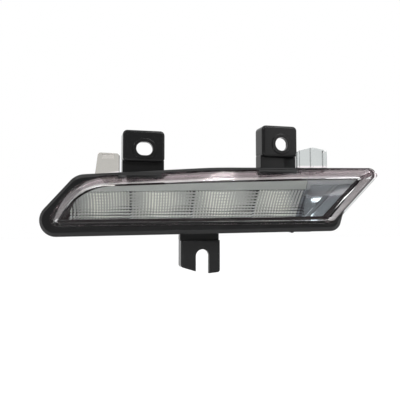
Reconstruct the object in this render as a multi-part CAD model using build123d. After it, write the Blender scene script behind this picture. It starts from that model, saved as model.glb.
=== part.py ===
"""Daytime running light: black housing, clear bevelled lens and four-cell pillow reflector.

The lamp is drawn in its own frame: x along the lens, y backwards from the rim, z up.
The finished pieces are then turned by the sweep angle, so that the fixing holes run along
the Y axis of the files, with the origin in the round hole of the right-hand upper tab.
"""
from build123d import *
from math import atan2, degrees, hypot
import os

# Sweep of the lens against the plane of the fixing tabs, degrees
SWEEP = 14.0

# Outlines as corners (x, z, corner radius), anticlockwise from the lower left corner
HOUSING_OUTLINE = [
    (-103.3, -21.2, 9.5),
    (77.9, -17.3, 6.0),
    (81.3, -5.0, 3.0),
    (98.0, 13.1, 1.0),
    (96.6, 18.2, 3.0),
    (8.4, 18.6, 300.0),
    (-70.3, 14.55, 11.2),
]
LENS_OUTLINE = [
    (-86.6, -14.9, 4.0),
    (74.8, -13.2, 6.0),
    (103.6, 18.0, 4.0),
    (8.0, 16.3, 250.0),
    (-70.8, 12.5, 34.0),
]
LENS_FACE = [
    (-78.2, -13.5, 1.5),
    (69.9, -11.0, 4.0),
    (88.6, 12.0, 1.2),
    (0.0, 9.8, 250.0),
    (-66.0, 7.4, 32.0),
]
SHARPEST_CORNER = 0.4

# Beyond every piece, for cuts that run right through
FAR = 150.0

# Lens shell. Insets go edge by edge: lower, right, upper right, upper left, left
LENS_HEIGHT = 9.0
LENS_WALL = 2.0
FACE_WALL_INSETS = [1.7, 0.9, 1.0, 1.0, 0.9]
FLANGE_PROUD = 1.2
FLANGE_SEAT = 1.2
FLANGE_INSETS = [0.3, 0.8, 0.5, 0.5, 0.8]
TONGUE_INSETS = [0.4, 3.0, 1.4, 1.4, 0.4]
TONGUE_WALL = 2.0
TONGUE_LENGTH = 3.8
TIP_NUB_RADIUS = 2.0
TIP_NUB_AT = (97.1, 13.6)

# Clear clips on the upper edge of the lens
CLIP_WALL = 2.4
LEFT_CLIP = [(-60.2, 10.0, 0.0), (-46.0, 10.0, 0.0), (-46.0, 26.6, 1.5), (-57.9, 27.3, 1.5)]
RECESS_X = (-55.7, -48.9)
RECESS_Z = (23.7, 26.1)
RECESS_DEEP = 1.4
RIGHT_CLIP = [
    (55.3, 14.5, 0.0),
    (72.1, 14.5, 0.0),
    (72.1, 28.2, 1.2),
    (64.0, 30.2, 6.0),
    (55.3, 28.0, 1.2),
]
CLIP_RIB_AT = (56.2, 64.2, 71.2)
CLIP_RIB_WALL = 1.6
CLIP_RIB_DEPTH = 3.2

# Housing rim, groove and tray. Drafts go edge by edge, as the insets do
RIM_DEPTH = 8.0
RIM_BEVEL = 2.2
FIT_GAP = 0.3
SEAL_DEPTH = 1.5
GROOVE_LIP = 1.2
TRAY_DEPTH = 30.0
TRAY_WALL = 2.5
TRAY_DROP = 2.0
TRAY_DRAFTS = [0.0, 2.5, 2.5, 2.5, 2.5]
LEFT_KEY = ((-45.5, -21.5), (12.3, 15.4))
RIGHT_KEY = ((33.0, 54.5), (14.7, 17.0))
KEY_PROUD = 2.1
NOTCH_WALL = 1.5
RIM_NUB_AT = (51.8, -16.9)
RIM_NUB_RADIUS = 1.5
RIB_WALL = 1.6
RIB_PROUD = 2.4
RIB_INSET = 1.0
RIB_COUNT = 6
RIB_FIRST = -63.0
RIB_PITCH = 24.0

# Upper fixing tabs: hollow boxes on hollow necks, open at the back
TAB_DEPTH = 11.0
TAB_WALL = 2.5
TAB_CORNER = 2.6
TAB_EDGE = 1.5
TAB_ABOVE_HOLE = 10.8
TAB_BELOW_HOLE = 7.6
NECK_SETBACK = 3.0
NECK_DROP = 12.0
HOLE_RADIUS = 3.9
HOLE_COLLAR = 1.9
COLLAR_PROUD = 0.6
SLOT_STRETCH = 1.8
RIGHT_HOLE_AT = (46.7, 8.0, 32.65)
RIGHT_TAB_WIDTH = 21.6
RIGHT_TAB_OFFSET = -0.8
LEFT_HOLE_AT = (-32.3, 8.0, 30.05)
LEFT_TAB_WIDTH = 24.3
LEFT_TAB_OFFSET = -0.2

# Lower fork tab
FORK_AT = (1.1, 6.0, -31.6)
FORK_LEFT = 12.4
FORK_RIGHT = 10.4
FORK_DEPTH = 7.5
FORK_WALL = 3.0
FORK_TOP = 9.0
FORK_LEFT_LEG = 9.2
FORK_RIGHT_LEG = 10.0
FORK_SLANT = 3.2
FORK_SLOT = 3.9
FORK_CORNER = 1.6
FORK_EDGE = 0.8

# Connector socket and breather on the back
SOCKET_AT = (-21.5, -0.5)
SOCKET_WIDTH = 17.0
SOCKET_HEIGHT = 9.0
SOCKET_WALL = 2.0
SOCKET_CORNER = 2.5
SOCKET_PROUD = 13.0
SOCKET_DEPTH = 11.5
TERMINAL_SPREAD = 4.2
TERMINAL_WIDTH = 2.8
TERMINAL_THICK = 0.8
TERMINAL_SHORT = 3.0
VENT_AT = (45.0, -2.0)
VENT_BOSS_RADIUS = 6.0
VENT_BOSS_PROUD = 3.0
VENT_HOLE_RADIUS = 1.6
MEMBRANE_RADIUS = 4.1
MEMBRANE_THICK = 0.4
CAP_WALL = 1.3
CAP_HEIGHT = 4.0
CAP_AIR_GAP = 1.0
CAP_NOTCH = 2.0
CAP_NOTCHES = 4

# Reflector: cells are parabolas about the row of diodes, with upright flutes across them
REFLECTOR_GAP = 0.4
PLATE_FRONT = 2.0
PLATE_THICK = 1.4
CELL_PITCH = 36.0
CELL_COUNT = 4
FIRST_CELL = -76.3
CELL_HEIGHT = 17.4
CELL_BEHIND = 6.5
CELL_FOCUS = 5.3
CELL_BOW = 5.0
CELL_LEAN = 0.17
CELL_WALL = 1.8
ROWS = 11
FLUTES = 20
LAST_CELL_FLUTES = 16
FLUTE_DEPTH = 0.35
BACK_STEPS = 4
SHELF_THICK = 1.6
SHELF_OVERLAP = 0.9
END_FOLDS = [(0.0, 3.4), (5.2, 6.2), (5.5, 5.8), (7.0, 6.4), (7.3, 6.9), (30.0, 15.0)]
END_RISE = 2.9
END_SHELF_BACK = 12.0
POST_RADIUS = 2.8
POST_LENGTH = 7.6
POST_BEHIND = 3.5
POST_HEIGHT = 13.0

# Stack on the tray's floor: pedestals, heat sink, pad, board, diodes
PEDESTAL = 0.6
PEDESTAL_RADIUS = 3.2
SINK_THICK = 1.2
PAD_THICK = 0.4
BOARD_THICK = 1.2
BOARD_LEFT = -72.0
BOARD_RIGHT = 58.0
BOARD_AHEAD = 1.0
BOARD_BEHIND = 1.1
PAD_MARGIN = 2.0
DIODE_SIZE = 3.5
DIODE_HEIGHT = 0.5
PHOSPHOR_RADIUS = 1.4
PHOSPHOR_PROUD = 0.2
BOARD_SCREW_INSET = 3.0
HEADER_SIZE = (8.0, 2.6, 4.0)

# Driver board on the tray's back wall, with its parts on its front
DRIVER_WIDTH = 27.0
DRIVER_BOTTOM = -7.0
DRIVER_TOP = 6.4
DRIVER_STANDOFF = 3.0
DRIVER_THICK = 1.6
DRIVER_SCREW_X = 11.0
DRIVER_SCREW_Z = 4.0
PACKAGE_EDGE = 0.4
CHIP_AT = (0.0, 3.6)
CHIP_SIZE = (5.0, 1.5, 4.0)
INDUCTOR_AT = (-8.0, -1.2)
INDUCTOR_SIZE = (5.0, 3.0, 5.0)
CLAMP_DIODE_AT = (9.1, -1.0)
CLAMP_DIODE_SIZE = (4.2, 2.0, 2.4)
CAPACITORS_AT = [(-5.4, 4.6), (5.4, 4.6)]
CAPACITOR_SIZE = (2.0, 1.4, 1.3)
RESISTORS_AT = [(-3.0, -4.5), (0.0, -4.5), (3.0, -4.5)]
RESISTOR_SIZE = (1.6, 0.6, 0.9)
LEAD_RADIUS = 0.55
LEAD_BEND = 0.8
LEAD_SPREAD = 2.0
LEAD_RISE = 3.4
LEAD_SIDES = 8

# Screws: shank radius, head radius, head height
SCREW_RADIUS = 1.2
SCREW_HEAD_RADIUS = 2.3
SCREW_HEAD = 1.2
SCREW_BITE = 1.4
POST_SCREW_RADIUS = 1.5
POST_SCREW_HEAD_RADIUS = 3.0
POST_SCREW_HEAD = 2.0
POST_SCREW_BITE = 5.5
DRIVE_RADIUS = 0.9
BOSS_WALL = 1.9


def moved(outline, inset):
    """Outline with each edge moved inwards by its own inset, or outwards if negative."""
    count = len(outline)
    insets = inset if isinstance(inset, list) else [inset] * count
    edges = []
    for i in range(count):
        start = Vector(*outline[i][:2])
        along = (Vector(*outline[(i + 1) % count][:2]) - start).normalized()
        inward = Vector(-along.Y, along.X)
        edges.append((start + inward * insets[i], along))
    corners = []
    for i in range(count):
        before, turn_from = edges[i - 1]
        after, turn_to = edges[i]
        cross = turn_from.X * turn_to.Y - turn_from.Y * turn_to.X
        gap = after - before
        corner = before + turn_from * ((gap.X * turn_to.Y - gap.Y * turn_to.X) / cross)
        shrink = (insets[i - 1] + insets[i]) / 2
        radius = outline[i][2] - (shrink if cross > 0 else -shrink)
        corners.append((corner.X, corner.Y, max(radius, SHARPEST_CORNER)))
    return corners


def widened(insets, amount):
    """Insets with the same amount added to every edge."""
    return [inset + amount for inset in insets]


def front_plane(y):
    """Sketch plane seen from the front, at depth y."""
    return Plane((0, y, 0), x_dir=(1, 0, 0), z_dir=(0, -1, 0))


def backwards(sketch, front, back):
    """Sketch drawn as seen from the front, extruded between two depths."""
    return extrude(front_plane(front) * sketch, amount=back - front, dir=(0, 1, 0))


def drawn(outline):
    """Sketch of an outline."""
    points = [(x, z) for x, z, _ in outline]
    radii = [radius for _, _, radius in outline]
    return make_face(FilletPolyline(*points, radius=radii, close=True))


def slab(outline, front, back):
    """Straight block of an outline between two depths."""
    return backwards(drawn(outline), front, back)


def tapered(front_outline, front, back_outline, back):
    """Block with straight flanks between two outlines of as many corners."""
    ends = [front_plane(front) * drawn(front_outline), front_plane(back) * drawn(back_outline)]
    return loft(ends, ruled=True)


def block(x, y, z):
    """Box between two limits on each axis."""
    size = (x[1] - x[0], y[1] - y[0], z[1] - z[0])
    centre = ((x[0] + x[1]) / 2, (y[0] + y[1]) / 2, (z[0] + z[1]) / 2)
    return Pos(*centre) * Box(*size)


def rod(x, z, radius, front, back):
    """Cylinder along y."""
    return backwards(Pos(x, z) * Circle(radius), front, back)


# Outlines and depths that several pieces share
GROOVE_OUTER = moved(LENS_OUTLINE, widened(TONGUE_INSETS, -FIT_GAP))
GROOVE_INNER = moved(LENS_OUTLINE, widened(TONGUE_INSETS, TONGUE_WALL + FIT_GAP))
OPENING_INSETS = widened(TONGUE_INSETS, TONGUE_WALL + FIT_GAP + GROOVE_LIP)
OPENING = moved(LENS_OUTLINE, OPENING_INSETS)
TRAY_INNER = moved(LENS_OUTLINE, [-TRAY_DROP] + OPENING_INSETS[1:])
TONGUE_END = FLANGE_SEAT + TONGUE_LENGTH
GROOVE_FLOOR = TONGUE_END + SEAL_DEPTH
TRAY_FLOOR = TRAY_DEPTH - TRAY_WALL
CLIP_FRONT = TONGUE_END - CLIP_WALL
SOCKET_END = TRAY_DEPTH + SOCKET_PROUD
SOCKET_FLOOR = SOCKET_END - SOCKET_DEPTH
VENT_BOSS_END = TRAY_DEPTH + VENT_BOSS_PROUD
ALL_FLUTES = (CELL_COUNT - 1) * FLUTES + LAST_CELL_FLUTES
CELLS_END = FIRST_CELL + ALL_FLUTES * CELL_PITCH / FLUTES
SINK_TOP = PEDESTAL + SINK_THICK
BOARD_BASE = SINK_TOP + PAD_THICK
BOARD_TOP = BOARD_BASE + BOARD_THICK
CELL_BASE = BOARD_TOP + DIODE_HEIGHT
DRIVER_BACK = TRAY_FLOOR - DRIVER_STANDOFF
DRIVER_FRONT = DRIVER_BACK - DRIVER_THICK
POST_BACK = TRAY_FLOOR - POST_BEHIND
POST_FRONT = POST_BACK - POST_LENGTH
BOARD_BACK = TRAY_FLOOR - BOARD_BEHIND
BOARD_FRONT = RIM_DEPTH + BOARD_AHEAD
BOARD_SCREW_DEPTH = BOARD_FRONT + BOARD_SCREW_INSET
CELL_DEEP = TRAY_FLOOR - CELL_BEHIND
DIODES_AT = [FIRST_CELL + (i + 0.5) * CELL_PITCH for i in range(CELL_COUNT)]
RIDGES_AT = [FIRST_CELL + i * CELL_PITCH for i in range(1, CELL_COUNT)]


def on_floor():
    """Frame of the tray's floor, which rises to the right as the lens's lower edge does."""
    left, right = TRAY_INNER[0], TRAY_INNER[1]
    slope = (right[1] - left[1]) / (right[0] - left[0])
    return Pos(0, 0, left[1] - slope * left[0]) * Rot(0, -degrees(atan2(slope, 1)), 0)


def at_tab(hole):
    """Frame of a fixing tab: at its hole, turned back from the lens by the sweep."""
    return Pos(*hole) * Rot(0, 0, SWEEP)


def hole_cutter(stretch, radius, front, back):
    """Round or slotted pin along y through a tab's wall."""
    sketch = SlotOverall(stretch + 2 * radius, 2 * radius) if stretch else Circle(radius)
    return backwards(sketch, front, back)


def tab_box(width, offset):
    """Hollow tab with rounded corners, its hole's wall centred on the frame's origin."""
    height = TAB_ABOVE_HOLE + TAB_BELOW_HOLE
    middle = Pos(offset, (TAB_ABOVE_HOLE - TAB_BELOW_HOLE) / 2)
    front = -TAB_WALL / 2
    box = backwards(middle * RectangleRounded(width, height, TAB_CORNER), front, front + TAB_DEPTH)
    box = fillet(box.faces().sort_by(Axis.Y)[0].edges(), TAB_EDGE)
    inside = RectangleRounded(width - 2 * TAB_WALL, height - 2 * TAB_WALL, TAB_EDGE)
    return box - backwards(middle * inside, front + TAB_WALL, front + TAB_DEPTH)


def tab_neck(width, offset):
    """Channel below a tab, set back from its face, down to the tray."""
    front = NECK_SETBACK - TAB_WALL / 2
    back = TAB_DEPTH - TAB_WALL / 2
    x = (offset - width / 2, offset + width / 2)
    low = -TAB_BELOW_HOLE - NECK_DROP
    neck = block(x, (front, back), (low, TAB_WALL / 2 - TAB_BELOW_HOLE))
    inside = block((x[0] + TAB_WALL, x[1] - TAB_WALL), (front + TAB_WALL, back), (low, -TAB_BELOW_HOLE))
    return neck - inside


def fixing_tab(hole, width, offset, stretch):
    """One upper tab: box, neck, collar round the hole, and the hole."""
    face = -TAB_WALL / 2
    tab = tab_box(width, offset) + tab_neck(width, offset)
    tab += hole_cutter(stretch, HOLE_RADIUS + HOLE_COLLAR, face - COLLAR_PROUD, face + TAB_WALL)
    tab -= hole_cutter(stretch, HOLE_RADIUS, face - COLLAR_PROUD, face + TAB_WALL)
    return at_tab(hole) * tab


def fork_profile():
    """Front outline of the fork, with its slanted left leg."""
    return drawn([
        (-FORK_LEFT, FORK_TOP, 0.0),
        (-FORK_LEFT, FORK_SLANT - FORK_LEFT_LEG, FORK_CORNER),
        (-FORK_SLOT / 2, -FORK_LEFT_LEG, 0.0),
        (FORK_SLOT / 2, -FORK_RIGHT_LEG, 0.0),
        (FORK_RIGHT, FORK_EDGE - FORK_RIGHT_LEG, FORK_CORNER),
        (FORK_RIGHT, FORK_TOP, 0.0),
    ])


def fork_tab():
    """Lower tab: channel with a slot open at its lower end, and its neck."""
    front = -FORK_WALL / 2
    back = front + FORK_DEPTH
    plate = backwards(fork_profile(), front, back)
    plate = fillet(plate.faces().sort_by(Axis.Y)[0].edges(), FORK_EDGE)
    inside = (FORK_WALL - FORK_LEFT, FORK_RIGHT - FORK_WALL)
    bottom = -FORK_RIGHT_LEG - FORK_WALL
    plate -= block(inside, (front + FORK_WALL, back), (bottom, FORK_TOP - FORK_WALL))
    slot = hole_cutter(0, FORK_SLOT, front, back)
    slot += block((-FORK_SLOT, FORK_SLOT), (front, back), (bottom, 0))
    rise = LENS_OUTLINE[0][1] - TRAY_DROP - FORK_AT[2]
    neck = block((-FORK_LEFT, FORK_RIGHT), (front + NECK_SETBACK, back), (FORK_TOP - FORK_WALL, rise))
    return at_tab(FORK_AT) * (plate - slot + neck)


def lens_clip(outline):
    """Upright clear plate on the tongue of the lens."""
    return slab(outline, CLIP_FRONT, TONGUE_END)


def along_x(x, profile):
    """Bar with a profile of (y, z) corners between two limits on x."""
    face = Plane.YZ * make_face(Polyline(*profile, close=True))
    return Pos(x[0], 0, 0) * extrude(face, amount=x[1] - x[0], dir=(1, 0, 0))


def left_clip():
    """Clip with a recess in its front, deepest along its upper edge."""
    low, high = RECESS_Z
    recess = [(CLIP_FRONT, low), (CLIP_FRONT + RECESS_DEEP, high), (CLIP_FRONT, high)]
    return lens_clip(LEFT_CLIP) - along_x(RECESS_X, recess)


def right_clip():
    """Clip with upright ribs behind it."""
    clip = lens_clip(RIGHT_CLIP)
    depth = (CLIP_FRONT, TONGUE_END + CLIP_RIB_DEPTH)
    foot = HOUSING_OUTLINE[5][1] + FIT_GAP
    shape = slab(RIGHT_CLIP, *depth)
    half = CLIP_RIB_WALL / 2
    for x in CLIP_RIB_AT:
        clip += block((x - half, x + half), depth, (foot, FAR)) & shape
    return clip


def lens_notch(x, z, wall=0.0):
    """Notch in the upper edge of the lens for a key on the rim, or the block its walls are cut from."""
    room = FIT_GAP + wall
    return block((x[0] - room, x[1] + room), (-LENS_HEIGHT, FLANGE_SEAT), (z[0] - room, FAR))


def rim_key(x, z):
    """Key on the rim, which fills a notch of the lens and is flush with the lens's bevel."""
    middle = (z[0] + z[1]) / 2
    profile = [(-FLANGE_PROUD - KEY_PROUD, z[0]), (FLANGE_SEAT, z[0]), (FLANGE_SEAT, z[1]), (0, z[1])]
    return along_x(x, profile + [(-FLANGE_PROUD, middle)])


def tip_nub(gap=0.0):
    """Round ear at the right-hand tip of the flange."""
    return rod(*TIP_NUB_AT, TIP_NUB_RADIUS + gap, -FLANGE_PROUD, FLANGE_SEAT)


def outer_lens():
    """Clear shell: flange, bevelled wall, front face, tongue and the two upper clips."""
    base = moved(LENS_OUTLINE, FLANGE_INSETS)
    inner_base = moved(base, LENS_WALL)
    inner_face = moved(LENS_FACE, FACE_WALL_INSETS)
    whole = slab(LENS_OUTLINE, -FLANGE_PROUD, FLANGE_SEAT) + tip_nub()
    whole += tapered(LENS_FACE, -LENS_HEIGHT, base, -FLANGE_PROUD)
    shell = whole - tapered(inner_face, LENS_WALL - LENS_HEIGHT, inner_base, -FLANGE_PROUD)
    shell -= slab(inner_base, -FLANGE_PROUD, FLANGE_SEAT)
    for key in (LEFT_KEY, RIGHT_KEY):
        shell += lens_notch(*key, NOTCH_WALL) & whole
        shell -= lens_notch(*key)
    tongue = moved(LENS_OUTLINE, TONGUE_INSETS)
    shell += slab(tongue, FLANGE_SEAT, TONGUE_END)
    shell -= slab(moved(tongue, TONGUE_WALL), FLANGE_SEAT, TONGUE_END)
    return shell + left_clip() + right_clip()


def lens_seal():
    """Bead of sealant that fills the groove behind the tongue."""
    return slab(GROOVE_OUTER, TONGUE_END, GROOVE_FLOOR) - slab(GROOVE_INNER, TONGUE_END, GROOVE_FLOOR)


def clip_passage(outline):
    """Way for a clip up through the rim, behind the rim's front."""
    left = min(x for x, _, _ in outline) - FIT_GAP
    right = max(x for x, _, _ in outline) + FIT_GAP
    return block((left, right), (CLIP_FRONT - FIT_GAP, TONGUE_END + FIT_GAP), (outline[0][1], FAR))


def rim():
    """Bevelled ring with the seat and the groove for the lens."""
    ring = slab(HOUSING_OUTLINE, RIM_BEVEL, RIM_DEPTH)
    ring += tapered(moved(HOUSING_OUTLINE, RIM_BEVEL), 0, HOUSING_OUTLINE, RIM_BEVEL)
    ring -= slab(moved(LENS_OUTLINE, -FIT_GAP), 0, FLANGE_SEAT) + tip_nub(FIT_GAP)
    ring += rim_key(*LEFT_KEY) + rim_key(*RIGHT_KEY)
    ring += rod(*RIM_NUB_AT, RIM_NUB_RADIUS, RIM_BEVEL, RIM_DEPTH)
    ring -= slab(GROOVE_OUTER, FLANGE_SEAT, GROOVE_FLOOR) - slab(GROOVE_INNER, FLANGE_SEAT, GROOVE_FLOOR)
    ring -= slab(OPENING, 0, RIM_DEPTH)
    return ring - clip_passage(LEFT_CLIP) - clip_passage(RIGHT_CLIP)


def tray_space(gap):
    """Room inside the lamp behind the lens, kept a gap away from its walls."""
    opening = moved(OPENING, gap)
    share = (TRAY_FLOOR - RIM_DEPTH) / (TRAY_DEPTH - RIM_DEPTH)
    back = moved(TRAY_INNER, [share * draft + gap for draft in TRAY_DRAFTS])
    room = slab(opening, 0, RIM_DEPTH + gap)
    return room + tapered(moved(TRAY_INNER, gap), RIM_DEPTH + gap, back, TRAY_FLOOR - gap)


def tray():
    """Drafted tray behind the rim, open to the front."""
    outer = moved(TRAY_INNER, -TRAY_WALL)
    shell = slab(outer, GROOVE_FLOOR, RIM_DEPTH)
    shell += tapered(outer, RIM_DEPTH, moved(outer, TRAY_DRAFTS), TRAY_DEPTH)
    return shell - tray_space(0)


def back_ribs():
    """Upright and level stiffening ribs on the back of the tray."""
    field = slab(moved(TRAY_INNER, widened(TRAY_DRAFTS, RIB_INSET)), TRAY_DEPTH, TRAY_DEPTH + RIB_PROUD)
    half = RIB_WALL / 2
    depth = (TRAY_DEPTH, TRAY_DEPTH + RIB_PROUD)
    level = SOCKET_AT[1]
    ribs = block((-FAR, FAR), depth, (level - half, level + half))
    for i in range(RIB_COUNT):
        x = RIB_FIRST + i * RIB_PITCH
        ribs += block((x - half, x + half), depth, (-FAR, FAR))
    ribs = ribs & field
    ribs -= rod(*VENT_AT, VENT_BOSS_RADIUS + CAP_WALL + FIT_GAP, *depth)
    for x in RIDGES_AT:
        ribs -= rod(x, post_level(x), POST_SCREW_HEAD_RADIUS + BOSS_WALL, *depth)
    return ribs


def post_level(x):
    """Height of a reflector post above the lamp's centre line."""
    return (on_floor() * Pos(x, 0, POST_HEIGHT)).position.Z


def socket():
    """Shroud of the connector, closed at its floor."""
    outer = RectangleRounded(SOCKET_WIDTH + 2 * SOCKET_WALL, SOCKET_HEIGHT + 2 * SOCKET_WALL, SOCKET_CORNER)
    inner = RectangleRounded(SOCKET_WIDTH, SOCKET_HEIGHT, SOCKET_CORNER / 2)
    place = Pos(*SOCKET_AT)
    shroud = backwards(place * outer, TRAY_DEPTH, SOCKET_END)
    return shroud, backwards(place * inner, SOCKET_FLOOR, SOCKET_END)


def bosses():
    """Bosses on the back wall for the posts and the driver board, and pedestals on the floor."""
    studs = Part()
    for x in RIDGES_AT:
        studs += rod(x, post_level(x), POST_SCREW_RADIUS + BOSS_WALL, POST_BACK, TRAY_FLOOR)
    for side in (-1, 1):
        x = SOCKET_AT[0] + side * DRIVER_SCREW_X
        studs += rod(x, DRIVER_SCREW_Z, SCREW_RADIUS + BOSS_WALL / 2, DRIVER_BACK, TRAY_FLOOR)
    for x in RIDGES_AT:
        pedestal = extrude(Pos(x, BOARD_SCREW_DEPTH) * Circle(PEDESTAL_RADIUS), amount=PEDESTAL)
        studs += on_floor() * pedestal
    return studs


def housing_holes():
    """Holes for the screws, the terminals and the breather."""
    holes = rod(*VENT_AT, VENT_HOLE_RADIUS, TRAY_FLOOR, VENT_BOSS_END)
    holes += rod(*VENT_AT, MEMBRANE_RADIUS, VENT_BOSS_END - MEMBRANE_THICK, VENT_BOSS_END)
    for x in RIDGES_AT:
        holes += rod(x, post_level(x), POST_SCREW_RADIUS, POST_BACK, TRAY_DEPTH)
        bite = Pos(x, BOARD_SCREW_DEPTH, PEDESTAL - SCREW_BITE) * Circle(SCREW_RADIUS)
        holes += on_floor() * extrude(bite, amount=SCREW_BITE)
    for side in (-1, 1):
        x = SOCKET_AT[0] + side * DRIVER_SCREW_X
        holes += rod(x, DRIVER_SCREW_Z, SCREW_RADIUS, DRIVER_BACK, TRAY_FLOOR)
        holes += terminal(side)
    return holes


def housing():
    """Black moulding: rim, tray, ribs, socket, breather boss, bosses and the three tabs."""
    shroud, cavity = socket()
    body = rim() + tray() + (back_ribs() + shroud - cavity)
    body += rod(*VENT_AT, VENT_BOSS_RADIUS, TRAY_DEPTH, VENT_BOSS_END) + bosses()
    body += fixing_tab(RIGHT_HOLE_AT, RIGHT_TAB_WIDTH, RIGHT_TAB_OFFSET, 0)
    body += fixing_tab(LEFT_HOLE_AT, LEFT_TAB_WIDTH, LEFT_TAB_OFFSET, SLOT_STRETCH)
    body += fork_tab()
    return body - housing_holes()


def terminal(side):
    """Blade through the back wall, from the driver board into the socket."""
    x = SOCKET_AT[0] + side * TERMINAL_SPREAD
    z = SOCKET_AT[1]
    thickness = (x - TERMINAL_THICK / 2, x + TERMINAL_THICK / 2)
    width = (z - TERMINAL_WIDTH / 2, z + TERMINAL_WIDTH / 2)
    return block(thickness, (DRIVER_FRONT, SOCKET_END - TERMINAL_SHORT), width)


def vent_membrane():
    """Porous disc in the end of the breather boss."""
    return rod(*VENT_AT, MEMBRANE_RADIUS, VENT_BOSS_END - MEMBRANE_THICK, VENT_BOSS_END)


def vent_cap():
    """Cap over the breather boss, with notches in its skirt for air."""
    end = VENT_BOSS_END + CAP_AIR_GAP + CAP_WALL
    start = end - CAP_HEIGHT
    cap = rod(*VENT_AT, VENT_BOSS_RADIUS + CAP_WALL, start, end)
    cap = chamfer(cap.faces().sort_by(Axis.Y)[-1].edges(), CAP_WALL / 2)
    cap -= rod(*VENT_AT, VENT_BOSS_RADIUS, start, end - CAP_WALL)
    centre = Pos(VENT_AT[0], 0, VENT_AT[1])
    reach = VENT_BOSS_RADIUS + 2 * CAP_WALL
    notch = block((0, reach), (start, VENT_BOSS_END), (-CAP_NOTCH / 2, CAP_NOTCH / 2))
    for i in range(CAP_NOTCHES):
        cap -= centre * Rot(0, (i + 0.5) * 360 / CAP_NOTCHES, 0) * notch
    return cap


def quad_face(*corners):
    """Flat face through its corners."""
    return Face(Wire.make_polygon(corners, close=True))


def grid_faces(grid):
    """One flat face for each mesh of a grid of points."""
    faces = []
    for near, far in zip(grid, grid[1:]):
        for i in range(len(near) - 1):
            faces.append(quad_face(near[i], far[i], far[i + 1], near[i + 1]))
    return faces


def cell_depth(height):
    """Depth of the parabola at a height above the diodes."""
    return CELL_DEEP - height ** 2 / (4 * CELL_FOCUS)


def cell_rise(steps, shift):
    """Upright line of a cell: a parabola in straight steps, leaning to the right."""
    heights = [CELL_HEIGHT * i / steps for i in range(steps + 1)]
    return [
        Vector(CELL_LEAN * (height - CELL_HEIGHT / 2), cell_depth(height) + shift, CELL_BASE + height)
        for height in heights
    ]


def cell_plan(flute):
    """Level line across all cells: each one bowed, with flutes of the given depth."""
    points = []
    for i in range(2 * ALL_FLUTES + 1):
        across = (i % (2 * FLUTES)) / (2 * FLUTES)
        bow = CELL_BOW * (2 * across - 1) ** 2
        points.append(Vector(FIRST_CELL + i * CELL_PITCH / (2 * FLUTES), flute * (i % 2) - bow, 0))
    return points


def pillow_cells():
    """Wall of all cells: flat pillows in front, a plain bowed wall behind."""
    front = [[rise + plan for rise in cell_rise(ROWS, 0)] for plan in cell_plan(FLUTE_DEPTH)]
    back_rise = cell_rise(BACK_STEPS, CELL_WALL + FLUTE_DEPTH)
    back_plan = cell_plan(0)
    every = 2 * FLUTES // BACK_STEPS
    back = [[rise + plan for rise in back_rise] for plan in back_plan[:-1:every] + back_plan[-1:]]
    faces = grid_faces(front) + grid_faces(back)
    for i in (0, -1):
        faces.append(quad_face(*front[i], *reversed(back[i])))
        level = [column[i] for column in front]
        faces.append(quad_face(*level, *reversed([column[i] for column in back])))
    return on_floor() * Solid(Shell(faces))


def leaning(x, y, z):
    """Block between two limits whose flanks lean as the cells do."""
    middle = CELL_BASE + CELL_HEIGHT / 2
    corners = [(x[0], z[0]), (x[1], z[0]), (x[1], z[1]), (x[0], z[1])]
    sheared = [(across + CELL_LEAN * (up - middle), up) for across, up in corners]
    return on_floor() * backwards(make_face(Polyline(*sheared, close=True)), *y)


def end_panel(thick):
    """Smooth folded panel to the right of the cells, its folds along the lens's right edge."""
    low, high = OPENING[1], OPENING[2]
    start = Vector(low[0], 0, low[1])
    along = (Vector(high[0], 0, high[1]) - start).normalized()
    plane = Plane(start, x_dir=(-along.Z, 0, along.X), z_dir=along)
    sign = 1 if plane.y_dir.Y > 0 else -1
    front = [(s, sign * y) for s, y in END_FOLDS]
    back = [(s, sign * (y + thick)) for s, y in reversed(END_FOLDS)]
    reach = hypot(high[0] - low[0], high[1] - low[1])
    return extrude(plane * make_face(Polyline(*front, *back, close=True)), amount=reach, both=True)


def reflector():
    """Metallised moulding: cells, shelf above them, front plate, end panel and posts."""
    top = CELL_BASE + CELL_HEIGHT
    plate_back = PLATE_FRONT + PLATE_THICK
    plate = slab(OPENING, PLATE_FRONT, plate_back)
    plate -= leaning((-FAR, CELLS_END), (0, TRAY_DEPTH), (-FAR, top))
    plate -= leaning((CELLS_END, FAR), (0, TRAY_DEPTH), (-FAR, top + END_RISE))
    shelf_back = cell_depth(CELL_HEIGHT) + SHELF_OVERLAP + CELL_WALL
    shelf = leaning((-FAR, CELLS_END), (PLATE_FRONT, shelf_back), (top, top + SHELF_THICK))
    end_top = (top + END_RISE, top + END_RISE + SHELF_THICK)
    shelf += leaning((CELLS_END, FAR), (PLATE_FRONT, END_SHELF_BACK), end_top)
    panel = end_panel(PLATE_THICK) & leaning((CELLS_END, FAR), (0, TRAY_DEPTH), (0, FAR))
    wall = leaning((CELLS_END, CELLS_END + PLATE_THICK), (0, CELL_DEEP), (CELL_BASE, end_top[1]))
    wall &= end_panel(CELL_DEEP)
    body = (pillow_cells() + shelf + plate + panel + wall) & tray_space(REFLECTOR_GAP)
    for x in RIDGES_AT:
        body += rod(x, post_level(x), POST_RADIUS, POST_FRONT, POST_BACK)
        body -= rod(x, post_level(x), POST_SCREW_RADIUS, POST_BACK - POST_SCREW_BITE, POST_BACK)
    return body


def floor_plate(x, y, z):
    """Plate on the tray's floor with holes for the board screws."""
    plate = block(x, y, z)
    for ridge in RIDGES_AT:
        plate -= Pos(ridge, BOARD_SCREW_DEPTH, z[0]) * extrude(Circle(SCREW_RADIUS), amount=z[1] - z[0])
    return on_floor() * plate


def led_board():
    """Metal-core board below the cells."""
    return floor_plate((BOARD_LEFT, BOARD_RIGHT), (BOARD_FRONT, BOARD_BACK), (BOARD_BASE, BOARD_TOP))


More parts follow.
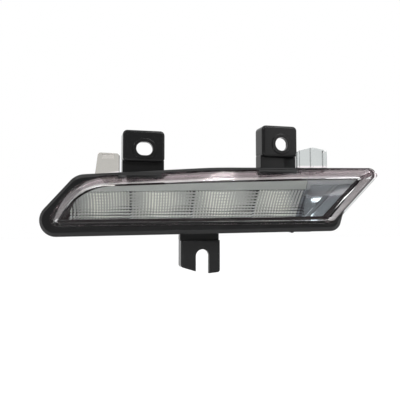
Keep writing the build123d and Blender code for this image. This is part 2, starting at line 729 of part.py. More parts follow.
def thermal_pad():
    """Soft pad between the board and the heat sink."""
    x = (BOARD_LEFT + PAD_MARGIN, BOARD_RIGHT - PAD_MARGIN)
    y = (BOARD_FRONT + PAD_MARGIN / 2, BOARD_BACK - PAD_MARGIN / 2)
    return floor_plate(x, y, (SINK_TOP, BOARD_BASE))


def heat_sink():
    """Aluminium sheet on the pedestals, folded up at both ends."""
    x = (BOARD_LEFT - SINK_THICK - FIT_GAP, BOARD_RIGHT + SINK_THICK + FIT_GAP)
    y = (BOARD_FRONT, BOARD_BACK)
    sheet = floor_plate(x, y, (PEDESTAL, SINK_TOP))
    for end in ((x[0], x[0] + SINK_THICK), (x[1] - SINK_THICK, x[1])):
        sheet += on_floor() * block(end, y, (SINK_TOP, BOARD_TOP))
    return sheet


def led(index):
    """Light-emitting diode at the focus of a cell: square base and round phosphor."""
    x = DIODES_AT[index] - CELL_LEAN * CELL_HEIGHT / 2
    y = CELL_DEEP - CELL_FOCUS
    half = DIODE_SIZE / 2
    base = block((x - half, x + half), (y - half, y + half), (BOARD_TOP, BOARD_TOP + DIODE_HEIGHT))
    disc = Pos(x, y, BOARD_TOP + DIODE_HEIGHT) * extrude(Circle(PHOSPHOR_RADIUS), amount=PHOSPHOR_PROUD)
    return on_floor() * (base + disc)


def screw(radius, length, head_radius, head):
    """Pan-head screw: its head above z = 0, its shank below."""
    body = Pos(0, 0, -length / 2) * Cylinder(radius, length)
    top = Pos(0, 0, head / 2) * Cylinder(head_radius, head)
    top = chamfer(top.edges().sort_by(Axis.Z)[-1], head / 3)
    recess = Pos(0, 0, head) * Box(2 * DRIVE_RADIUS, DRIVE_RADIUS / 2, head)
    return body + top - recess - Rot(0, 0, 90) * recess


def board_screws():
    """Screws through the board and the heat sink into the pedestals."""
    length = BOARD_TOP - PEDESTAL + SCREW_BITE
    one = screw(SCREW_RADIUS, length, SCREW_HEAD_RADIUS, SCREW_HEAD)
    return [on_floor() * Pos(x, BOARD_SCREW_DEPTH, BOARD_TOP) * one for x in RIDGES_AT]


def reflector_screws():
    """Screws from the back of the tray into the posts of the reflector."""
    length = TRAY_DEPTH - POST_BACK + POST_SCREW_BITE
    one = screw(POST_SCREW_RADIUS, length, POST_SCREW_HEAD_RADIUS, POST_SCREW_HEAD)
    return [Pos(x, TRAY_DEPTH, post_level(x)) * Rot(-90, 0, 0) * one for x in RIDGES_AT]


def driver_screws():
    """Screws through the driver board into its bosses."""
    length = TRAY_FLOOR - DRIVER_FRONT
    one = screw(SCREW_RADIUS, length, SCREW_HEAD_RADIUS, SCREW_HEAD)
    places = [SOCKET_AT[0] + side * DRIVER_SCREW_X for side in (-1, 1)]
    return [Pos(x, DRIVER_FRONT, DRIVER_SCREW_Z) * Rot(90, 0, 0) * one for x in places]


def driver_board():
    """Upright circuit board with holes for its screws and the terminals."""
    half = DRIVER_WIDTH / 2
    x = (SOCKET_AT[0] - half, SOCKET_AT[0] + half)
    board = block(x, (DRIVER_FRONT, DRIVER_BACK), (DRIVER_BOTTOM, DRIVER_TOP))
    for side in (-1, 1):
        board -= terminal(side)
        hole_x = SOCKET_AT[0] + side * DRIVER_SCREW_X
        board -= rod(hole_x, DRIVER_SCREW_Z, SCREW_RADIUS, DRIVER_FRONT, DRIVER_BACK)
    return board


def on_driver(across, up, size, edge=0.0):
    """Small part on the front of the driver board, at a place measured from the socket."""
    x = SOCKET_AT[0] + across
    limits = ((x - size[0] / 2, x + size[0] / 2), (DRIVER_FRONT - size[1], DRIVER_FRONT))
    part = block(*limits, (up - size[2] / 2, up + size[2] / 2))
    return chamfer(part.faces().sort_by(Axis.Y)[0].edges(), edge) if edge else part


def driver_inductor():
    """Shielded coil with a round core showing in its face."""
    body = on_driver(*INDUCTOR_AT, INDUCTOR_SIZE, PACKAGE_EDGE)
    groove = Circle(INDUCTOR_SIZE[0] / 2 - PACKAGE_EDGE) - Circle(INDUCTOR_SIZE[0] / 2 - 2 * PACKAGE_EDGE)
    place = Pos(SOCKET_AT[0] + INDUCTOR_AT[0], INDUCTOR_AT[1])
    front = DRIVER_FRONT - INDUCTOR_SIZE[1]
    return body - backwards(place * groove, front, front + PACKAGE_EDGE)


def board_header():
    """Socket on the light board for the two leads."""
    x = SOCKET_AT[0]
    back = BOARD_BACK - FIT_GAP
    limits = ((x - HEADER_SIZE[0] / 2, x + HEADER_SIZE[0] / 2), (back - HEADER_SIZE[1], back))
    body = block(*limits, (BOARD_TOP, BOARD_TOP + HEADER_SIZE[2]))
    return on_floor() * chamfer(body.faces().sort_by(Axis.Z)[-1].edges(), PACKAGE_EDGE / 2)


def lead(side):
    """Short wire from the header up to the back of the driver board."""
    y = BOARD_BACK - FIT_GAP - LEAD_RADIUS
    x = SOCKET_AT[0] + side * LEAD_SPREAD
    foot = on_floor() * Pos(x, y, BOARD_TOP + HEADER_SIZE[2])
    top = (foot * Pos(0, 0, LEAD_RISE)).position
    route = FilletPolyline(foot.position, top, (top.X, DRIVER_BACK, top.Z), radius=LEAD_BEND)
    return sweep(Plane(foot) * RegularPolygon(LEAD_RADIUS, LEAD_SIDES), path=route)


PIECES = {
    "housing": housing,
    "outer_lens": outer_lens,
    "lens_seal": lens_seal,
    "reflector": reflector,
    "led_board": led_board,
    "thermal_pad": thermal_pad,
    "heat_sink": heat_sink,
    "board_screws": board_screws,
    "reflector_screws": reflector_screws,
    "driver_board": driver_board,
    "driver_screws": driver_screws,
    "driver_chip": lambda: on_driver(*CHIP_AT, CHIP_SIZE, PACKAGE_EDGE),
    "driver_inductor": driver_inductor,
    "protection_diode": lambda: on_driver(*CLAMP_DIODE_AT, CLAMP_DIODE_SIZE, PACKAGE_EDGE),
    "capacitors": lambda: [on_driver(*place, CAPACITOR_SIZE) for place in CAPACITORS_AT],
    "resistors": lambda: [on_driver(*place, RESISTOR_SIZE) for place in RESISTORS_AT],
    "board_header": board_header,
    "lead_positive": lambda: lead(1),
    "lead_negative": lambda: lead(-1),
    "terminal_positive": lambda: terminal(1),
    "terminal_negative": lambda: terminal(-1),
    "vent_membrane": vent_membrane,
    "vent_cap": vent_cap,
}
for number in range(CELL_COUNT):
    PIECES[f"led_{number + 1}"] = lambda index=number: led(index)


def main():
    """Write each piece, turned by the sweep, with the origin in the round fixing hole."""
    placing = Rot(0, 0, -SWEEP) * Pos(*(-value for value in RIGHT_HOLE_AT))
    os.makedirs("parts", exist_ok=True)
    for name, make in PIECES.items():
        made = make()
        solids = made if isinstance(made, list) else [made]
        placed = [placing * solid for solid in solids]
        export_step(placed[0] if len(placed) == 1 else Compound(children=placed), f"parts/{name}.step")


main()
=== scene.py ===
"""Looks of the daytime running light: finishes, pillow optics, studio and camera."""

import math

import bpy
from mathutils import Matrix, Vector


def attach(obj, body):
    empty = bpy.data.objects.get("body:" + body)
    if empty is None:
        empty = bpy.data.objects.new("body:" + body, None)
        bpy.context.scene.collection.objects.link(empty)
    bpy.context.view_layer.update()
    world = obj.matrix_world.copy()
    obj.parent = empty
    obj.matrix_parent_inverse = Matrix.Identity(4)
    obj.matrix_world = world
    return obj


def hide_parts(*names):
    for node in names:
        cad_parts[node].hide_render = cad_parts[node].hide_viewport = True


# Lengths are in millimetres in the lamp's own frame (x along the lens, y backwards, z up) and
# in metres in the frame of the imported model
MM = 0.001
SWEEP = math.radians(14.0)
ROUND_HOLE = Vector((46.7, 8.0, 32.65))
TO_MODEL = Matrix.Scale(MM, 4) @ Matrix.Rotation(-SWEEP, 4, "Z") @ Matrix.Translation(-ROUND_HOLE)

# Floor of the tray, which carries the reflector's cells: its height at x = 0 and its slope
FLOOR_LEVEL = -15.99
FLOOR_RISE = 1.7
FLOOR_RUN = 161.4
FLOOR_SLOPE = math.atan(FLOOR_RISE / FLOOR_RUN)
ON_FLOOR = Matrix.Translation((0, 0, FLOOR_LEVEL)) @ Matrix.Rotation(-FLOOR_SLOPE, 4, "Y")

# Reflector cells, as in the solids
CELL_PITCH = 36.0
FLUTES = 20
ALL_FLUTES = 76
ROWS = 11
FIRST_CELL = -76.3
CELL_BASE = 3.9
CELL_HEIGHT = 17.4
CELL_DEEP = 21.0
CELL_FOCUS = 5.3
CELL_BOW = 5.0
CELL_LEAN = 0.17

# Pillows on the cells
PILLOW_STEPS = 6
PILLOW_CROWN_ACROSS = 0.24
PILLOW_CROWN_UP = 0.15
SKIN_CLEAR = 0.12
SKIN_THICK = 0.1
PILLOW_SMOOTH = math.radians(20)
BODY_SMOOTH = math.radians(25)
MERGE_WITHIN = 0.002 * MM

# Camera
VIEW_AZIMUTH = math.radians(-14.0)
VIEW_ELEVATION = math.radians(-3.0)
VIEW_DISTANCE = 275.0
VIEW_WIDTH = 224.0
VIEW_NEAREST = 0.01
SENSOR = 36.0

# Lines across the part, in the frame of the imported model: direction across the line, distance along it,
# and half the width of the change. The lens has its upper bevel and its clips above the first three, and
# the reflector is plain above BAND_LINE and an end panel right of the end line. The end panel's metal is
# painted darker and bluer, a painted dark reflection of the room, and above the end's top line it is
# painted darker still, a painted shadow under the shelf
BEVEL_LINE = (Vector((-0.029, 0, 1)), -21.7 * MM, 0.3 * MM)
CLIPS_LINE = (Vector((0, 0, 1)), -13.0 * MM, 0.4 * MM)
LEFT_CLIP_LINE = (Vector((-0.15, 0, 1)), -2.4 * MM, 0.4 * MM)
# Painted shade: right of this line the reflector's metal is painted darker and bluer, a painted dark
# reflection of the room
PAINTED_DARK_END_LINE = (Vector((0.97, -0.235, -0.17)), 17.6 * MM, 0.4 * MM)
# Painted shade: above this line the end panel's top is painted darker metal, a painted shadow under the
# shelf
PAINTED_SHADE_END_TOP_LINE = (Vector((-0.0105, 0, 1)), -30.2 * MM, 0.8 * MM)
BAND_LINE = (Vector((-0.0105, 0, 1)), -26.8 * MM, 0.4 * MM)

# White pads that the diodes sit on, on the board
DIODES = [f"led_{number}" for number in range(1, 5)]
PAD_RADIUS = 3.2 * MM
PAD_BLUR = 0.3 * MM

# Surface relief and the small radii of the housing's edges
RELIEF_DEPTH = 0.2 * MM
EDGE_RADIUS = 0.5 * MM

# Studio: the room's brightness in front of the part and behind it, the floor, and the point near
# the middle of the part that most lamps face
ROOM_REACH = 0.9
ROOM_IN_FRONT = 0.12
ROOM_BEHIND = 0.9
FLOOR_HEIGHT = -0.22
FLOOR_REACH = 6.0
FLOOR_GLOW = 0.6
PART_MIDDLE = (-0.05, 0.02, -0.03)


# Selection and copies
def deselect_all():
    """Leave nothing selected."""
    for item in bpy.context.selected_objects:
        item.select_set(False)


def make_active(item):
    """Select one object and nothing else."""
    deselect_all()
    item.select_set(True)
    bpy.context.view_layer.objects.active = item


def merged_copy(node, name):
    """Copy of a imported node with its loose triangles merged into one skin."""
    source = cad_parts[node]
    copy = source.copy()
    copy.data = source.data.copy()
    copy.name = name
    bpy.context.scene.collection.objects.link(copy)
    copy.parent = None
    for key in list(copy.keys()):
        del copy[key]
    make_active(copy)
    bpy.ops.object.mode_set(mode="EDIT")
    bpy.ops.mesh.select_all(action="SELECT")
    bpy.ops.mesh.remove_doubles(threshold=MERGE_WITHIN)
    bpy.ops.object.mode_set(mode="OBJECT")
    if copy.data.has_custom_normals:
        bpy.ops.mesh.customdata_custom_splitnormals_clear()
    return copy


# Node trees
def link(tree, source, target):
    """Join two sockets."""
    tree.links.new(source, target)


def add(tree, kind, **values):
    """New node with the given properties and input values."""
    node = tree.nodes.new(kind)
    for key, value in values.items():
        if hasattr(node, key):
            setattr(node, key, value)
        else:
            node.inputs[key.replace("_", " ")].default_value = value
    return node


def find(tree, kind):
    """The first node of a kind in a tree."""
    return next(node for node in tree.nodes if node.type == kind)


def combine(tree, operation, first, second):
    """Value worked out from two sockets."""
    node = add(tree, "ShaderNodeMath", operation=operation)
    link(tree, first, node.inputs[0])
    link(tree, second, node.inputs[1])
    return node.outputs[0]


def new_group(name, inputs, outputs):
    """Empty shader node group with named sockets."""
    group = bpy.data.node_groups.new(name, "ShaderNodeTree")
    for title, kind, value in inputs:
        socket = group.interface.new_socket(title, in_out="INPUT", socket_type=kind)
        socket.default_value = value
    for title, kind in outputs:
        group.interface.new_socket(title, in_out="OUTPUT", socket_type=kind)
    start = group.nodes.new("NodeGroupInput")
    end = group.nodes.new("NodeGroupOutput")
    return group, start, end


def place_group(tree, name, **values):
    """Put a shared node group in a material, with its values."""
    node = add(tree, "ShaderNodeGroup", node_tree=bpy.data.node_groups[name])
    for key, value in values.items():
        node.inputs[key.replace("_", " ")].default_value = value
    return node


def make_surface_variation():
    """Group: colour, roughness and height that change over a moulded or rolled surface."""
    group, start, end = new_group(
        "surface_variation",
        [
            ("Colour", "NodeSocketColor", (0.5, 0.5, 0.5, 1)),
            ("Second Colour", "NodeSocketColor", (0.4, 0.4, 0.4, 1)),
            ("Roughness", "NodeSocketFloat", 0.4),
            ("Roughness Spread", "NodeSocketFloat", 0.1),
            ("Patch Scale", "NodeSocketFloat", 60.0),
            ("Grain Scale", "NodeSocketFloat", 2500.0),
        ],
        [
            ("Colour", "NodeSocketColor"),
            ("Roughness", "NodeSocketFloat"),
            ("Height", "NodeSocketFloat"),
        ],
    )
    place = add(group, "ShaderNodeTexCoord")
    patch = add(group, "ShaderNodeTexNoise", Detail=4.0, Roughness=0.6)
    grain = add(group, "ShaderNodeTexNoise", Detail=2.0, Roughness=0.5)
    link(group, place.outputs["Object"], patch.inputs["Vector"])
    link(group, place.outputs["Object"], grain.inputs["Vector"])
    link(group, start.outputs["Patch Scale"], patch.inputs["Scale"])
    link(group, start.outputs["Grain Scale"], grain.inputs["Scale"])
    blend = add(group, "ShaderNodeMix", data_type="RGBA")
    link(group, patch.outputs["Fac"], blend.inputs["Factor"])
    link(group, start.outputs["Colour"], blend.inputs["A"])
    link(group, start.outputs["Second Colour"], blend.inputs["B"])
    centred = add(group, "ShaderNodeMath", operation="SUBTRACT")
    link(group, patch.outputs["Fac"], centred.inputs[0])
    centred.inputs[1].default_value = 0.5
    spread = add(group, "ShaderNodeMath", operation="MULTIPLY_ADD")
    link(group, centred.outputs[0], spread.inputs[0])
    link(group, start.outputs["Roughness Spread"], spread.inputs[1])
    link(group, start.outputs["Roughness"], spread.inputs[2])
    link(group, blend.outputs["Result"], end.inputs["Colour"])
    link(group, spread.outputs[0], end.inputs["Roughness"])
    link(group, grain.outputs["Fac"], end.inputs["Height"])


def make_beyond_line():
    """Group: mask that is one beyond a line across the part."""
    group, start, end = new_group(
        "beyond_line",
        [
            ("Direction", "NodeSocketVector", (0, 0, 1)),
            ("Distance", "NodeSocketFloat", 0.0),
            ("Blur", "NodeSocketFloat", MM),
        ],
        [("Mask", "NodeSocketFloat")],
    )
    place = add(group, "ShaderNodeTexCoord")
    across = add(group, "ShaderNodeVectorMath", operation="DOT_PRODUCT")
    link(group, place.outputs["Object"], across.inputs[0])
    link(group, start.outputs["Direction"], across.inputs[1])
    nearer = combine(group, "SUBTRACT", start.outputs["Distance"], start.outputs["Blur"])
    farther = combine(group, "ADD", start.outputs["Distance"], start.outputs["Blur"])
    beyond = add(group, "ShaderNodeMapRange")
    link(group, across.outputs["Value"], beyond.inputs["Value"])
    link(group, nearer, beyond.inputs["From Min"])
    link(group, farther, beyond.inputs["From Max"])
    link(group, beyond.outputs["Result"], end.inputs["Mask"])


# Parts of a finish
def finish(name, colour, second, roughness, spread=0.1, patch=60.0, grain=2500.0, bump=0.05, **shader):
    """Material on the surface_variation group, with the shader's constant values given by name."""
    material = bpy.data.materials.new(name)
    material.use_nodes = True
    tree = material.node_tree
    tree.nodes.clear()
    out = add(tree, "ShaderNodeOutputMaterial")
    body = add(tree, "ShaderNodeBsdfPrincipled")
    vary = place_group(
        tree, "surface_variation", Colour=(*colour, 1), Second_Colour=(*second, 1),
        Roughness=roughness, Roughness_Spread=spread, Patch_Scale=patch, Grain_Scale=grain,
    )
    relief = add(tree, "ShaderNodeBump", Strength=bump, Distance=RELIEF_DEPTH)
    link(tree, vary.outputs["Colour"], body.inputs["Base Color"])
    link(tree, vary.outputs["Roughness"], body.inputs["Roughness"])
    link(tree, vary.outputs["Height"], relief.inputs["Height"])
    link(tree, relief.outputs["Normal"], body.inputs["Normal"])
    for key, value in shader.items():
        body.inputs[key.replace("_", " ")].default_value = value
    link(tree, body.outputs["BSDF"], out.inputs["Surface"])
    return material


def rounded_edges(material, radius):
    """Soften the shading of a material's edges, as a moulding's small radii do."""
    tree = material.node_tree
    edge = add(tree, "ShaderNodeBevel", samples=8, Radius=radius)
    link(tree, edge.outputs["Normal"], find(tree, "BUMP").inputs["Normal"])


def second_skin(material, lines, colour, second, roughness):
    """Give a material other colours and another roughness beyond all of some lines."""
    tree = material.node_tree
    body = find(tree, "BSDF_PRINCIPLED")
    mask = None
    for direction, distance, blur in lines:
        beyond = place_group(tree, "beyond_line", Direction=direction, Distance=distance, Blur=blur)
        if mask is None:
            mask = beyond.outputs["Mask"]
        else:
            mask = combine(tree, "MULTIPLY", mask, beyond.outputs["Mask"])
    other = place_group(
        tree, "surface_variation", Colour=(*colour, 1), Second_Colour=(*second, 1),
        Roughness=roughness, Roughness_Spread=roughness / 4,
    )
    tint = add(tree, "ShaderNodeMix", data_type="RGBA")
    matt = add(tree, "ShaderNodeMix", data_type="FLOAT")
    for blend, title, target in ((tint, "Colour", "Base Color"), (matt, "Roughness", "Roughness")):
        link(tree, mask, blend.inputs["Factor"])
        link(tree, body.inputs[target].links[0].from_socket, blend.inputs["A"])
        link(tree, other.outputs[title], blend.inputs["B"])
        link(tree, blend.outputs["Result"], body.inputs[target])


def pale_pads(material, centres, radius, colour):
    """Paint discs of another colour on a material around some points."""
    tree = material.node_tree
    body = find(tree, "BSDF_PRINCIPLED")
    place = add(tree, "ShaderNodeTexCoord")
    nearest = None
    for centre in centres:
        away = add(tree, "ShaderNodeVectorMath", operation="DISTANCE")
        link(tree, place.outputs["Object"], away.inputs[0])
        away.inputs[1].default_value = centre
        if nearest is None:
            nearest = away.outputs["Value"]
        else:
            nearest = combine(tree, "MINIMUM", nearest, away.outputs["Value"])
    inside = add(tree, "ShaderNodeMapRange")
    inside.inputs["From Min"].default_value = radius
    inside.inputs["From Max"].default_value = radius - PAD_BLUR
    link(tree, nearest, inside.inputs["Value"])
    tint = add(tree, "ShaderNodeMix", data_type="RGBA")
    link(tree, inside.outputs["Result"], tint.inputs["Factor"])
    link(tree, body.inputs["Base Color"].links[0].from_socket, tint.inputs["A"])
    tint.inputs["B"].default_value = (*colour, 1)
    link(tree, tint.outputs["Result"], body.inputs["Base Color"])


def let_light_through(material):
    """Let lamps shine through a clear material, so that what lies behind it is lit."""
    tree = material.node_tree
    rays = add(tree, "ShaderNodeLightPath")
    clear = add(tree, "ShaderNodeBsdfTransparent", Color=(0.9, 0.9, 0.9, 1))
    choose = add(tree, "ShaderNodeMixShader")
    link(tree, rays.outputs["Is Shadow Ray"], choose.inputs["Fac"])
    link(tree, find(tree, "BSDF_PRINCIPLED").outputs["BSDF"], choose.inputs[1])
    link(tree, clear.outputs["BSDF"], choose.inputs[2])
    link(tree, choose.outputs["Shader"], find(tree, "OUTPUT_MATERIAL").inputs["Surface"])


def set_material(item, material):
    """Give an object one material."""
    item.data.materials.clear()
    item.data.materials.append(material)


def middle(item):
    """Centre of an object's bounding box."""
    return item.matrix_world @ (sum((Vector(corner) for corner in item.bound_box), Vector()) / 8)


# Finishes of the lamp's pieces
def housing_plastic():
    """Glossy black moulding."""
    material = finish(
        "black_plastic", (0.011, 0.011, 0.0112), (0.017, 0.017, 0.0173), 0.13,
        spread=0.06, patch=45.0, grain=1800.0, bump=0.015, Specular_IOR_Level=0.15,
    )
    rounded_edges(material, EDGE_RADIUS)
    return material


def lens_plastic():
    """Clear moulding with a pinkish upper bevel and greyer clips."""
    material = finish(
        "clear_plastic", (0.97, 0.98, 0.975), (0.95, 0.965, 0.96), 0.0,
        spread=0.01, patch=40.0, grain=60.0, bump=0.002,
        Transmission_Weight=1.0, IOR=1.5, Specular_Tint=(1.0, 0.74, 0.80, 1.0),
    )
    second_skin(material, [BEVEL_LINE], (0.97, 0.91, 0.93), (0.94, 0.88, 0.90), 0.10)
    second_skin(material, [CLIPS_LINE], (0.72, 0.74, 0.74), (0.60, 0.62, 0.62), 0.02)
    second_skin(material, [LEFT_CLIP_LINE], (0.56, 0.54, 0.51), (0.51, 0.49, 0.46), 0.12)
    let_light_through(material)
    return material


def reflector_metal():
    """Metallised cells, with a satin band above them, and an end panel painted darker and bluer as a
    painted dark reflection of the room, with painted shade on its top.
    """
    material = finish(
        "bright_metal", (0.915, 0.915, 0.905), (0.86, 0.86, 0.85), 0.07,
        spread=0.04, patch=90.0, grain=900.0, bump=0.004, Metallic=1.0,
    )
    second_skin(material, [BAND_LINE], (0.40, 0.41, 0.395), (0.34, 0.35, 0.335), 0.32)
    # Painted shade: the end panel is the same metallising as the cells, painted darker and bluer for the
    # dark room it reflects
    second_skin(material, [PAINTED_DARK_END_LINE], (0.41, 0.44, 0.48), (0.37, 0.40, 0.44), 0.04)
    # Painted shade: the end panel's top is painted darker still, and rough, for the shadow under the
    # shelf
    second_skin(material, [PAINTED_DARK_END_LINE, PAINTED_SHADE_END_TOP_LINE], (0.36, 0.366, 0.38), (0.31, 0.315, 0.33), 0.32)
    return material


def board_mask():
    """Solder mask of the diodes' board, with a white pad around each diode."""
    material = finish("white_mask", (0.46, 0.46, 0.448), (0.40, 0.40, 0.388), 0.4)
    centres = [middle(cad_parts[diode]) for diode in DIODES]
    pale_pads(material, centres, PAD_RADIUS, (0.93, 0.93, 0.92))
    return material


def finishes():
    """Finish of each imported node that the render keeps."""
    package = finish("package_black", (0.02, 0.02, 0.021), (0.03, 0.03, 0.031), 0.55, bump=0.2)
    steel = finish("zinc_plate", (0.56, 0.57, 0.58), (0.46, 0.47, 0.50), 0.3, Metallic=1.0)
    tin = finish("tinned_brass", (0.66, 0.62, 0.50), (0.58, 0.53, 0.40), 0.3, Metallic=1.0)
    phosphor = finish("phosphor", (0.97, 0.95, 0.84), (0.95, 0.92, 0.80), 0.25, Coat_Weight=0.6)
    return {
        "housing": housing_plastic(),
        "outer_lens": lens_plastic(),
        "lens_seal": finish("sealant", (0.03, 0.03, 0.03), (0.05, 0.05, 0.05), 0.6),
        "led_board": board_mask(),
        "thermal_pad": finish("soft_pad", (0.25, 0.27, 0.30), (0.32, 0.33, 0.36), 0.8, bump=0.3),
        "heat_sink": finish("sheet_metal", (0.70, 0.71, 0.72), (0.60, 0.61, 0.62), 0.35, Metallic=1.0),
        "driver_board": finish("green_mask", (0.02, 0.12, 0.045), (0.03, 0.16, 0.06), 0.4),
        "driver_inductor": finish("ferrite", (0.05, 0.05, 0.055), (0.08, 0.08, 0.085), 0.6, bump=0.3),
        "board_header": finish("cream_nylon", (0.62, 0.56, 0.44), (0.68, 0.62, 0.50), 0.45),
        "lead_positive": finish("red_insulation", (0.40, 0.02, 0.015), (0.32, 0.015, 0.012), 0.5),
        "lead_negative": finish("black_insulation", (0.02, 0.02, 0.02), (0.035, 0.035, 0.035), 0.5),
        "vent_membrane": finish("membrane", (0.75, 0.75, 0.74), (0.66, 0.66, 0.65), 0.9, bump=0.4),
        "vent_cap": finish("cap_plastic", (0.016, 0.016, 0.016), (0.024, 0.024, 0.024), 0.5, bump=0.15),
        "capacitors": finish("tan_ceramic", (0.40, 0.27, 0.15), (0.48, 0.33, 0.20), 0.6),
        **dict.fromkeys(("driver_chip", "protection_diode", "resistors"), package),
        **dict.fromkeys(("board_screws", "reflector_screws", "driver_screws"), steel),
        **dict.fromkeys(("terminal_positive", "terminal_negative"), tin),
        **dict.fromkeys(DIODES, phosphor),
    }


# The pillowed face of the reflector
def cell_point(across, height):
    """Point of the reflector's face: across in flutes from the left end, height above the diodes."""
    in_cell = (across % FLUTES) / FLUTES
    bow = CELL_BOW * (2 * in_cell - 1) ** 2
    depth = CELL_DEEP - height ** 2 / (4 * CELL_FOCUS)
    lean = CELL_LEAN * (height - CELL_HEIGHT / 2)
    return Vector((FIRST_CELL + across * CELL_PITCH / FLUTES + lean, depth - bow, CELL_BASE + height))


def crown(part):
    """Rise of a pillow at a share of its width, nought at its edges."""
    return 1 - (2 * (part % 1) - 1) ** 2


def pillow_face():
    """Sheet of rounded pillows over the cells, with a thin wall."""
    columns = ALL_FLUTES * PILLOW_STEPS
    rows = ROWS * PILLOW_STEPS
    deselect_all()
    bpy.ops.mesh.primitive_grid_add(x_subdivisions=columns, y_subdivisions=rows, size=1)
    sheet = bpy.context.active_object
    sheet.name = "pillow_face"
    place = TO_MODEL @ ON_FLOOR
    for vertex in sheet.data.vertices:
        across = round((vertex.co.x + 0.5) * columns) / PILLOW_STEPS
        up = round((vertex.co.y + 0.5) * rows) / PILLOW_STEPS
        point = cell_point(across, up * CELL_HEIGHT / ROWS)
        point.y -= SKIN_CLEAR + PILLOW_CROWN_ACROSS * crown(across) + PILLOW_CROWN_UP * crown(up)
        vertex.co = place @ point
    wall = sheet.modifiers.new("wall", "SOLIDIFY")
    wall.thickness = SKIN_THICK * MM
    wall.offset = -1
    make_active(sheet)
    bpy.ops.object.modifier_apply(modifier=wall.name)
    bpy.ops.object.shade_smooth_by_angle(angle=PILLOW_SMOOTH)
    return sheet


def pillow_reflector():
    """The reflector of the solids, with rounded pillows on its cells."""
    base = merged_copy("reflector", "pillow_reflector")
    bpy.ops.object.shade_smooth_by_angle(angle=BODY_SMOOTH)
    face = pillow_face()
    deselect_all()
    face.select_set(True)
    base.select_set(True)
    bpy.context.view_layer.objects.active = base
    bpy.ops.object.join()
    return base


# Studio
def studio_world():
    """White room for the camera, darker towards the camera's side in reflections."""
    world = bpy.data.worlds.new("studio")
    bpy.context.scene.world = world
    world.use_nodes = True
    tree = world.node_tree
    tree.nodes.clear()
    out = add(tree, "ShaderNodeOutputWorld")
    place = add(tree, "ShaderNodeTexCoord")
    axes = add(tree, "ShaderNodeSeparateXYZ")
    link(tree, place.outputs["Generated"], axes.inputs["Vector"])
    depth = add(tree, "ShaderNodeMapRange")
    depth.inputs["From Min"].default_value = -ROOM_REACH
    depth.inputs["From Max"].default_value = ROOM_REACH
    depth.inputs["To Min"].default_value = ROOM_IN_FRONT
    depth.inputs["To Max"].default_value = ROOM_BEHIND
    link(tree, axes.outputs["Y"], depth.inputs["Value"])
    rays = add(tree, "ShaderNodeLightPath").outputs
    room = add(tree, "ShaderNodeBackground", Color=(1, 1, 1, 1))
    link(tree, depth.outputs["Result"], room.inputs["Strength"])
    white = add(tree, "ShaderNodeBackground", Color=(1, 1, 1, 1), Strength=1.0)
    either = combine(tree, "MAXIMUM", rays["Is Glossy Ray"], rays["Is Transmission Ray"])
    shining = combine(tree, "MULTIPLY", either, depth.outputs["Result"])
    seen = combine(tree, "MAXIMUM", rays["Is Camera Ray"], shining)
    choose = add(tree, "ShaderNodeMixShader")
    link(tree, seen, choose.inputs["Fac"])
    link(tree, room.outputs["Background"], choose.inputs[1])
    link(tree, white.outputs["Background"], choose.inputs[2])
    link(tree, choose.outputs["Shader"], out.inputs["Surface"])


def floor_white():
    """Pale floor that is white to the camera, and in metal and glass."""
    material = finish(
        "floor_white", (0.86, 0.86, 0.86), (0.84, 0.84, 0.84), 0.8, grain=400.0, bump=0.02,
    )
    tree = material.node_tree
    rays = add(tree, "ShaderNodeLightPath").outputs
    either = combine(tree, "MAXIMUM", rays["Is Camera Ray"], rays["Is Transmission Ray"])
    seen = combine(tree, "MAXIMUM", either, rays["Is Glossy Ray"])
    glow = add(tree, "ShaderNodeEmission", Color=(1, 1, 1, 1), Strength=FLOOR_GLOW)
    none = add(tree, "ShaderNodeEmission", Color=(0, 0, 0, 1), Strength=0.0)
    choose = add(tree, "ShaderNodeMixShader")
    both = add(tree, "ShaderNodeAddShader")
    link(tree, seen, choose.inputs["Fac"])
    link(tree, none.outputs["Emission"], choose.inputs[1])
    link(tree, glow.outputs["Emission"], choose.inputs[2])
    link(tree, choose.outputs["Shader"], both.inputs[0])
    link(tree, find(tree, "BSDF_PRINCIPLED").outputs["BSDF"], both.inputs[1])
    link(tree, both.outputs["Shader"], find(tree, "OUTPUT_MATERIAL").inputs["Surface"])
    return material


def studio_floor():
    """Floor well below the lamp."""
    deselect_all()
    bpy.ops.mesh.primitive_plane_add(size=2 * FLOOR_REACH, location=(0, 0, FLOOR_HEIGHT))
    floor = bpy.context.active_object
    floor.name = "studio_floor"
    set_material(floor, floor_white())


def soft_box(name, place, size, power, aim=PART_MIDDLE):
    """Rectangular studio lamp at a place, facing a point."""
    lamp = bpy.data.lights.new(name, "AREA")
    lamp.shape = "RECTANGLE"
    lamp.size, lamp.size_y = size
    lamp.energy = power
    holder = bpy.data.objects.new(name, lamp)
    bpy.context.scene.collection.objects.link(holder)
    holder.location = place
    holder.rotation_euler = (Vector(aim) - Vector(place)).to_track_quat("-Z", "Y").to_euler()


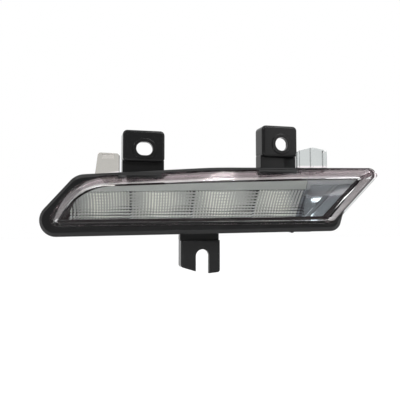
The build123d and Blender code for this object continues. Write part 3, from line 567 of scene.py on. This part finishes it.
def studio_lamps():
    """Soft lamps around the part, and two small ones for the lights on the bevel and the end panel."""
    soft_box("top_light", (-0.03, 0.12, 0.40), (0.8, 0.45), 1.0)
    soft_box("front_light", (0.12, -0.345, 0.291), (0.28, 0.2), 1.4)
    soft_box("key_light", (0.43, -0.28, 0.17), (0.2, 0.3), 0.35)
    soft_box("low_card", (-0.20, -0.45, -0.14), (0.12, 0.02), 0.25)
    soft_box("strip_light", (-0.002, 0.1388, 0.343), (0.06, 0.002), 0.022, aim=(-0.002, -0.006, -0.022))
    soft_box("small_light", (-0.198, -0.382, 0.211), (0.018, 0.0045), 0.0016, aim=(0.021, -0.004, -0.033))
    soft_box("fill_light", (-0.40, -0.26, 0.28), (0.2, 0.2), 0.6)
    soft_box("side_card", (0.233, -0.455, 0.108), (0.13, 0.16), 0.09, aim=(0.04, 0.0, 0.03))


def photo_camera():
    """Camera square to the lens, a little below it, as the photograph was taken."""
    target = TO_MODEL @ Vector((0, 0, 0))
    back = Vector((
        math.sin(VIEW_AZIMUTH) * math.cos(VIEW_ELEVATION),
        -math.cos(VIEW_AZIMUTH) * math.cos(VIEW_ELEVATION),
        math.sin(VIEW_ELEVATION),
    ))
    lens = bpy.data.cameras.new("photo_camera")
    lens.sensor_width = SENSOR
    lens.lens = SENSOR * VIEW_DISTANCE / VIEW_WIDTH
    lens.clip_start = VIEW_NEAREST
    camera = bpy.data.objects.new("photo_camera", lens)
    bpy.context.scene.collection.objects.link(camera)
    camera.location = target + back * VIEW_DISTANCE * MM
    camera.rotation_euler = (-back).to_track_quat("-Z", "Y").to_euler()
    bpy.context.scene.camera = camera


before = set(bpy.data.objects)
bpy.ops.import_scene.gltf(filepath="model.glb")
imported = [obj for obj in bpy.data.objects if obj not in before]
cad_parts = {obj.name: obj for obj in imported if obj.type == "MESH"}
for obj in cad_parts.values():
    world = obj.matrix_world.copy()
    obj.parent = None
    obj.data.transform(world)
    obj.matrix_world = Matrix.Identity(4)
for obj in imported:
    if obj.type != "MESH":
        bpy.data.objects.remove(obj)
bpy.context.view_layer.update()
bpy.context.scene.view_settings.view_transform = "Standard"

make_surface_variation()
make_beyond_line()
for node, material in finishes().items():
    set_material(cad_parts[node], material)

reflector = pillow_reflector()
set_material(reflector, reflector_metal())
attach(reflector, "root")
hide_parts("reflector")

studio_world()
studio_floor()
studio_lamps()
photo_camera()
